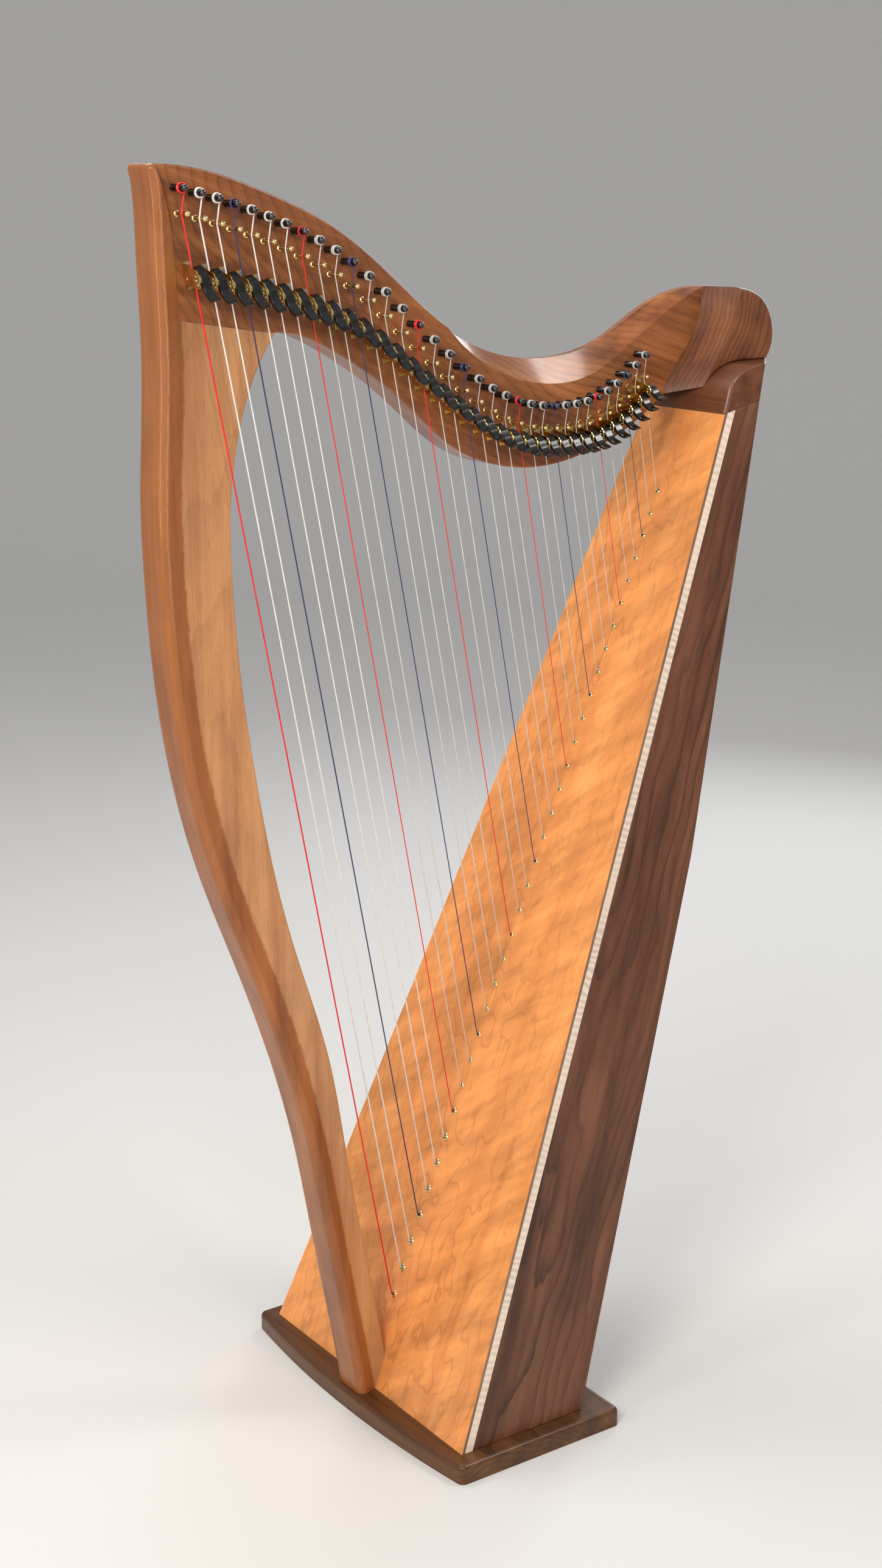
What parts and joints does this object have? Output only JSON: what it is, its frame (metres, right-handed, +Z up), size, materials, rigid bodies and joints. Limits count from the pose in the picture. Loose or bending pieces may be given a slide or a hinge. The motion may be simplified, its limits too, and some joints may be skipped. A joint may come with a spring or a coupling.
{
  "type": "lever harp",
  "caption": "Floor-standing wooden lever harp: pillar, curved neck, tapered soundbox on a base board, strings with flip levers.",
  "frame": {"origin": "on the underside of the base board, below the foot of the soundboard, on the centre plane", "axes": "+X from the pillar towards the player, +Y towards the far side of the neck (the player's right), +Z up"},
  "size_m": [0.7872, 0.432, 1.39],
  "materials": {
    "walnut_dark": "satin varnish",
    "walnut": "satin varnish",
    "walnut_light": "satin varnish",
    "walnut_side": "satin varnish",
    "cherry": "satin varnish",
    "maple": "satin varnish",
    "maple_inner": "bare wood",
    "brass": "polished",
    "blued_steel": "blued",
    "steel": "satin",
    "lever_black": "gloss",
    "string_red": "gloss",
    "string_blue": "gloss",
    "string_wound": "fine winding",
    "string_clear": "gloss"
  },
  "bodies": {
    "harp_frame": {"base_board": "walnut_dark", "base_screws": "steel", "soundboard": "cherry", "string_rib": "maple_inner", "edge_strip_left": "maple", "edge_strip_right": "maple", "side_panel_left": "walnut_side", "side_panel_right": "walnut_side", "back_panel": "walnut_side", "bottom_block": "maple_inner", "soundbox_braces": "maple_inner", "shoulder_block": "walnut_dark", "pillar": "walnut_light", "neck": "walnut", "shoulder_cheek": "walnut", "tuning_pins": "blued_steel", "bridge_pins": "brass", "lever_brackets": "brass", "lever_pivot_pins": "steel", "lever_screws": "steel", "string_eyelets": "brass", "string_anchors": "maple_inner", "strings_red": "string_red", "strings_blue": "string_blue", "strings_wound": "string_wound", "strings_clear": "string_clear"},
    "lever_01": {"lever_01": "lever_black"},
    "lever_02": {"lever_02": "lever_black"},
    "lever_03": {"lever_03": "lever_black"},
    "lever_04": {"lever_04": "lever_black"},
    "lever_05": {"lever_05": "lever_black"},
    "lever_06": {"lever_06": "lever_black"},
    "lever_07": {"lever_07": "lever_black"},
    "lever_08": {"lever_08": "lever_black"},
    "lever_09": {"lever_09": "lever_black"},
    "lever_10": {"lever_10": "lever_black"},
    "lever_11": {"lever_11": "lever_black"},
    "lever_12": {"lever_12": "lever_black"},
    "lever_13": {"lever_13": "lever_black"},
    "lever_14": {"lever_14": "lever_black"},
    "lever_15": {"lever_15": "lever_black"},
    "lever_16": {"lever_16": "lever_black"},
    "lever_17": {"lever_17": "lever_black"},
    "lever_18": {"lever_18": "lever_black"},
    "lever_19": {"lever_19": "lever_black"},
    "lever_20": {"lever_20": "lever_black"},
    "lever_21": {"lever_21": "lever_black"},
    "lever_22": {"lever_22": "lever_black"},
    "lever_23": {"lever_23": "lever_black"},
    "lever_24": {"lever_24": "lever_black"},
    "lever_25": {"lever_25": "lever_black"},
    "lever_26": {"lever_26": "lever_black"},
    "lever_27": {"lever_27": "lever_black"},
    "lever_28": {"lever_28": "lever_black"},
    "lever_29": {"lever_29": "lever_black"},
    "lever_30": {"lever_30": "lever_black"},
    "lever_31": {"lever_31": "lever_black"},
    "lever_32": {"lever_32": "lever_black"},
    "lever_33": {"lever_33": "lever_black"},
    "lever_34": {"lever_34": "lever_black"}
  },
  "joints": [
    {"name": "lever_01_hinge", "type": "hinge", "parent": "harp_frame", "child": "lever_01", "pos_m": [-0.18368, -0.0075, 1.27979], "axis": [-0.9823, 0, -0.1874], "range_deg": [0, 85]},
    {"name": "lever_02_hinge", "type": "hinge", "parent": "harp_frame", "child": "lever_02", "pos_m": [-0.16464, -0.00746, 1.27685], "axis": [-0.9823, 0, -0.1874], "range_deg": [0, 85]},
    {"name": "lever_03_hinge", "type": "hinge", "parent": "harp_frame", "child": "lever_03", "pos_m": [-0.14564, -0.00743, 1.27352], "axis": [-0.9823, 0, -0.1874], "range_deg": [0, 85]},
    {"name": "lever_04_hinge", "type": "hinge", "parent": "harp_frame", "child": "lever_04", "pos_m": [-0.12668, -0.00739, 1.26976], "axis": [-0.9823, 0, -0.1874], "range_deg": [0, 85]},
    {"name": "lever_05_hinge", "type": "hinge", "parent": "harp_frame", "child": "lever_05", "pos_m": [-0.10776, -0.00735, 1.26554], "axis": [-0.9823, 0, -0.1874], "range_deg": [0, 85]},
    {"name": "lever_06_hinge", "type": "hinge", "parent": "harp_frame", "child": "lever_06", "pos_m": [-0.08885, -0.00731, 1.26082], "axis": [-0.9823, 0, -0.1874], "range_deg": [0, 85]},
    {"name": "lever_07_hinge", "type": "hinge", "parent": "harp_frame", "child": "lever_07", "pos_m": [-0.06995, -0.00728, 1.25553], "axis": [-0.9823, 0, -0.1874], "range_deg": [0, 85]},
    {"name": "lever_08_hinge", "type": "hinge", "parent": "harp_frame", "child": "lever_08", "pos_m": [-0.05104, -0.00724, 1.24951], "axis": [-0.9823, 0, -0.1874], "range_deg": [0, 85]},
    {"name": "lever_09_hinge", "type": "hinge", "parent": "harp_frame", "child": "lever_09", "pos_m": [-0.03205, -0.0072, 1.24252], "axis": [-0.9823, 0, -0.1874], "range_deg": [0, 85]},
    {"name": "lever_10_hinge", "type": "hinge", "parent": "harp_frame", "child": "lever_10", "pos_m": [-0.01294, -0.00716, 1.23424], "axis": [-0.9823, 0, -0.1874], "range_deg": [0, 85]},
    {"name": "lever_11_hinge", "type": "hinge", "parent": "harp_frame", "child": "lever_11", "pos_m": [0.00638, -0.00712, 1.22422], "axis": [-0.9823, 0, -0.1874], "range_deg": [0, 85]},
    {"name": "lever_12_hinge", "type": "hinge", "parent": "harp_frame", "child": "lever_12", "pos_m": [0.02603, -0.00709, 1.21188], "axis": [-0.9823, 0, -0.1874], "range_deg": [0, 85]},
    {"name": "lever_13_hinge", "type": "hinge", "parent": "harp_frame", "child": "lever_13", "pos_m": [0.04594, -0.00705, 1.19753], "axis": [-0.9823, 0, -0.1874], "range_deg": [0, 85]},
    {"name": "lever_14_hinge", "type": "hinge", "parent": "harp_frame", "child": "lever_14", "pos_m": [0.06591, -0.00701, 1.18224], "axis": [-0.9823, 0, -0.1874], "range_deg": [0, 85]},
    {"name": "lever_15_hinge", "type": "hinge", "parent": "harp_frame", "child": "lever_15", "pos_m": [0.0857, -0.00697, 1.1673], "axis": [-0.9823, 0, -0.1874], "range_deg": [0, 85]},
    {"name": "lever_16_hinge", "type": "hinge", "parent": "harp_frame", "child": "lever_16", "pos_m": [0.10522, -0.00694, 1.15308], "axis": [-0.9823, 0, -0.1874], "range_deg": [0, 85]},
    {"name": "lever_17_hinge", "type": "hinge", "parent": "harp_frame", "child": "lever_17", "pos_m": [0.12448, -0.0069, 1.13962], "axis": [-0.9823, 0, -0.1874], "range_deg": [0, 85]},
    {"name": "lever_18_hinge", "type": "hinge", "parent": "harp_frame", "child": "lever_18", "pos_m": [0.14345, -0.00686, 1.12702], "axis": [-0.9823, 0, -0.1874], "range_deg": [0, 85]},
    {"name": "lever_19_hinge", "type": "hinge", "parent": "harp_frame", "child": "lever_19", "pos_m": [0.16201, -0.00682, 1.11593], "axis": [-0.9823, 0, -0.1874], "range_deg": [0, 85]},
    {"name": "lever_20_hinge", "type": "hinge", "parent": "harp_frame", "child": "lever_20", "pos_m": [0.18006, -0.00679, 1.10687], "axis": [-0.9823, 0, -0.1874], "range_deg": [0, 85]},
    {"name": "lever_21_hinge", "type": "hinge", "parent": "harp_frame", "child": "lever_21", "pos_m": [0.19759, -0.00675, 1.09999], "axis": [-0.9823, 0, -0.1874], "range_deg": [0, 85]},
    {"name": "lever_22_hinge", "type": "hinge", "parent": "harp_frame", "child": "lever_22", "pos_m": [0.2146, -0.00671, 1.09513], "axis": [-0.9823, 0, -0.1874], "range_deg": [0, 85]},
    {"name": "lever_23_hinge", "type": "hinge", "parent": "harp_frame", "child": "lever_23", "pos_m": [0.23115, -0.00667, 1.09216], "axis": [-0.9823, 0, -0.1874], "range_deg": [0, 85]},
    {"name": "lever_24_hinge", "type": "hinge", "parent": "harp_frame", "child": "lever_24", "pos_m": [0.24726, -0.00664, 1.09087], "axis": [-0.9823, 0, -0.1874], "range_deg": [0, 85]},
    {"name": "lever_25_hinge", "type": "hinge", "parent": "harp_frame", "child": "lever_25", "pos_m": [0.263, -0.0066, 1.09089], "axis": [-0.9823, 0, -0.1874], "range_deg": [0, 85]},
    {"name": "lever_26_hinge", "type": "hinge", "parent": "harp_frame", "child": "lever_26", "pos_m": [0.27862, -0.00656, 1.09087], "axis": [-0.9823, 0, -0.1874], "range_deg": [0, 85]},
    {"name": "lever_27_hinge", "type": "hinge", "parent": "harp_frame", "child": "lever_27", "pos_m": [0.29399, -0.00652, 1.09157], "axis": [-0.9823, 0, -0.1874], "range_deg": [0, 85]},
    {"name": "lever_28_hinge", "type": "hinge", "parent": "harp_frame", "child": "lever_28", "pos_m": [0.30898, -0.00649, 1.09363], "axis": [-0.9823, 0, -0.1874], "range_deg": [0, 85]},
    {"name": "lever_29_hinge", "type": "hinge", "parent": "harp_frame", "child": "lever_29", "pos_m": [0.32352, -0.00645, 1.09749], "axis": [-0.9823, 0, -0.1874], "range_deg": [0, 85]},
    {"name": "lever_30_hinge", "type": "hinge", "parent": "harp_frame", "child": "lever_30", "pos_m": [0.33756, -0.00641, 1.10337], "axis": [-0.9823, 0, -0.1874], "range_deg": [0, 85]},
    {"name": "lever_31_hinge", "type": "hinge", "parent": "harp_frame", "child": "lever_31", "pos_m": [0.35118, -0.00637, 1.11091], "axis": [-0.9823, 0, -0.1874], "range_deg": [0, 85]},
    {"name": "lever_32_hinge", "type": "hinge", "parent": "harp_frame", "child": "lever_32", "pos_m": [0.36444, -0.00634, 1.11972], "axis": [-0.9823, 0, -0.1874], "range_deg": [0, 85]},
    {"name": "lever_33_hinge", "type": "hinge", "parent": "harp_frame", "child": "lever_33", "pos_m": [0.37738, -0.0063, 1.12958], "axis": [-0.9823, 0, -0.1874], "range_deg": [0, 85]},
    {"name": "lever_34_hinge", "type": "hinge", "parent": "harp_frame", "child": "lever_34", "pos_m": [0.39007, -0.00626, 1.14022], "axis": [-0.9823, 0, -0.1874], "range_deg": [0, 85]}
  ]
}
